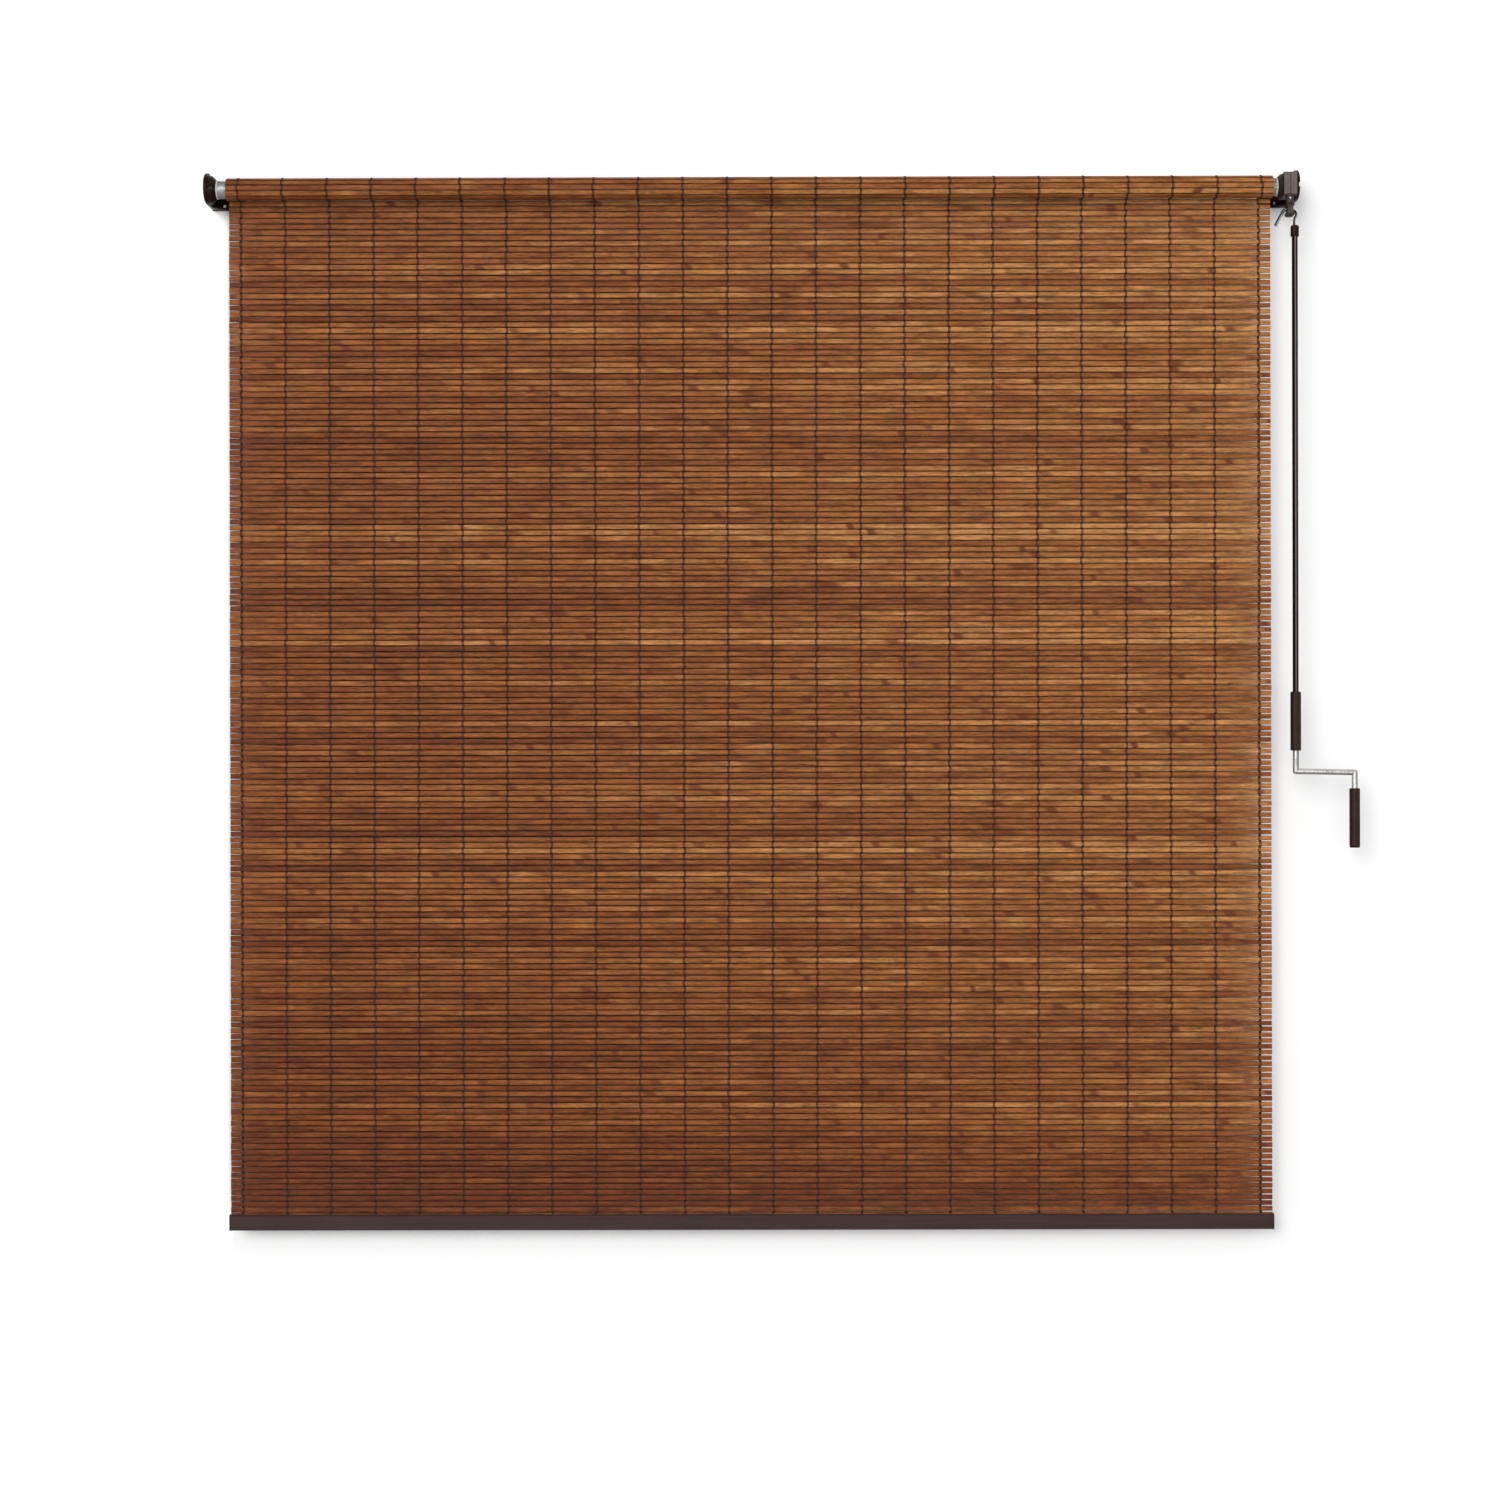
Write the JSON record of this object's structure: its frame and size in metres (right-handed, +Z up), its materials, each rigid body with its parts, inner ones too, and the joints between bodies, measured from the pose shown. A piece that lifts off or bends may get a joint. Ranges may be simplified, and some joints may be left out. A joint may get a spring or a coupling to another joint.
{
  "type": "crank-operated bamboo roller blind",
  "caption": "Roller blind of corded bamboo slats on a tube between two wall brackets, raised by a worm gear and a hanging crank, with a weighted bottom rail.",
  "frame": {"origin": "centre of the four wall screw holes, on the wall plane, at the height of the tube's axis", "axes": "+X along the tube towards the crank, +Y into the wall, +Z up"},
  "size_m": [1.9802, 0.086, 1.8239],
  "materials": {
    "bamboo": "stained, satin",
    "cord": "twisted cord",
    "galvanised": "galvanised",
    "bright_steel": "zinc plated",
    "grey_plastic": "moulded",
    "dark_plastic": "moulded, satin",
    "black_plastic": "moulded, satin",
    "gear_plastic": "moulded",
    "bush_brass": "turned",
    "painted_steel": "powder coated, gloss",
    "painted_rail": "powder coated, satin"
  },
  "bodies": {
    "frame": {"left_bracket": "dark_plastic", "pin_keeper": "black_plastic", "idler_pin": "bright_steel", "right_bracket": "dark_plastic", "case_keeper": "black_plastic", "gear_case_inner": "dark_plastic", "gear_case_outer": "dark_plastic", "gear_case_screws": "bright_steel", "worm_top_bush": "bush_brass", "worm_lower_bush": "bush_brass", "bamboo_slats": "bamboo", "mat_cords": "cord"},
    "roller": {"roller_tube": "galvanised", "idler_plug": "grey_plastic", "drive_plug": "grey_plastic", "drive_shaft": "bright_steel", "worm_wheel": "gear_plastic", "mat_roll": "bamboo"},
    "crank": {"worm": "bright_steel", "crank_eye": "black_plastic", "eye_pin": "bright_steel", "crank_hook": "bright_steel", "hook_ferrule": "dark_plastic", "crank_rod": "painted_steel", "crank_arm": "bright_steel", "upper_grip_ring": "bright_steel", "lower_grip_washer": "bright_steel"},
    "upper_grip": {"upper_grip": "dark_plastic"},
    "lower_grip": {"lower_grip": "dark_plastic", "lower_grip_cap": "dark_plastic"},
    "rail": {"bottom_rail": "painted_rail", "rail_cap_left": "black_plastic", "rail_cap_right": "black_plastic"}
  },
  "joints": [
    {"name": "crank_turn", "type": "hinge", "parent": "frame", "child": "crank", "pos_m": [0.926, -0.0755, 0], "axis": [0, 0, 1], "range_deg": [0, 34560]},
    {"name": "tube_spin", "type": "hinge", "parent": "frame", "child": "roller", "pos_m": [0, -0.058, 0], "axis": [1, 0, 0], "range_deg": [0, 2880]},
    {"name": "rail_lift", "type": "slide", "parent": "frame", "child": "rail", "axis": [0, 0, 1], "range_m": [0, 1.69], "deforming": ["bamboo_slats", "mat_cords"]},
    {"name": "upper_grip_spin", "type": "hinge", "parent": "crank", "child": "upper_grip", "pos_m": [0.9346, -0.0755, -0.92], "axis": [0, 0, 1], "continuous": true},
    {"name": "lower_grip_spin", "type": "hinge", "parent": "crank", "child": "lower_grip", "pos_m": [1.0352, -0.0755, -1.08], "axis": [0, 0, 1], "continuous": true}
  ],
  "couplings": [
    {"joint": "tube_spin", "follows": "crank_turn", "ratio": 0.083333},
    {"joint": "rail_lift", "follows": "crank_turn", "m_per_rad": 0.0028018}
  ]
}
